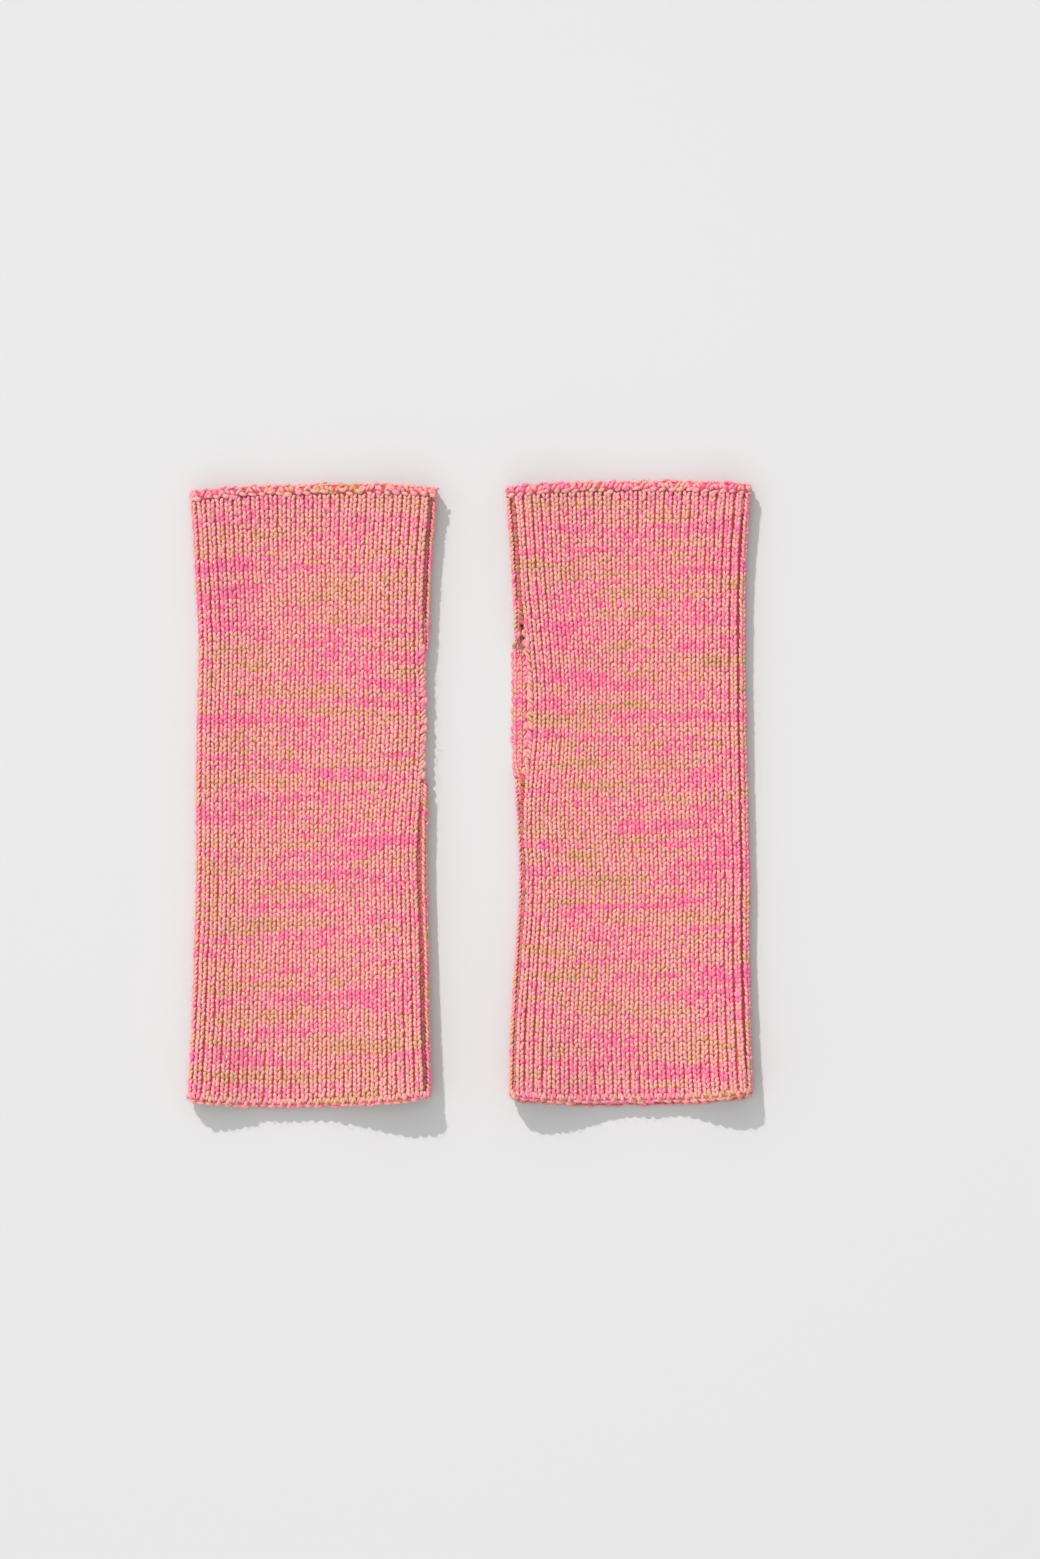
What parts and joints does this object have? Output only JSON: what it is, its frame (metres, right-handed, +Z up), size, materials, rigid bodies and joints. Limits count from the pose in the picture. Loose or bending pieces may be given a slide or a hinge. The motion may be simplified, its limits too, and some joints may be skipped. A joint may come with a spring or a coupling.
{
  "type": "pair of fingerless rib-knit mittens",
  "caption": "Fingerless rib-knit mittens laid flat side by side: long folded tubes with a thumb slot in one side seam, a rolled finger rim and a cast-on wrist edge.",
  "frame": {"origin": "centre of the pair's bounding box, at the surface it lies on", "axes": "+Y from the wrist ends to the finger ends, +X across the pair from the left mitten to the right one, +Z up off the surface"},
  "size_m": [0.2232, 0.2471, 0.0123],
  "materials": {
    "marled_rib": "matt pink and tan marled yarn in 1x1 rib",
    "marled_edging": "the same yarn in the linked rims, seams and selvedges"
  },
  "bodies": {
    "root": {"left_body_panel": "marled_rib", "left_finger_rim": "marled_edging", "left_wrist_cast_on": "marled_edging", "left_wrist_seam": "marled_edging", "left_finger_seam": "marled_edging", "left_slot_edge_top": "marled_edging", "left_slot_edge_under": "marled_edging", "right_body_panel": "marled_rib", "right_finger_rim": "marled_edging", "right_wrist_cast_on": "marled_edging", "right_wrist_seam": "marled_edging", "right_finger_seam": "marled_edging", "right_slot_edge_top": "marled_edging", "right_slot_edge_under": "marled_edging"}
  },
  "joints": []
}
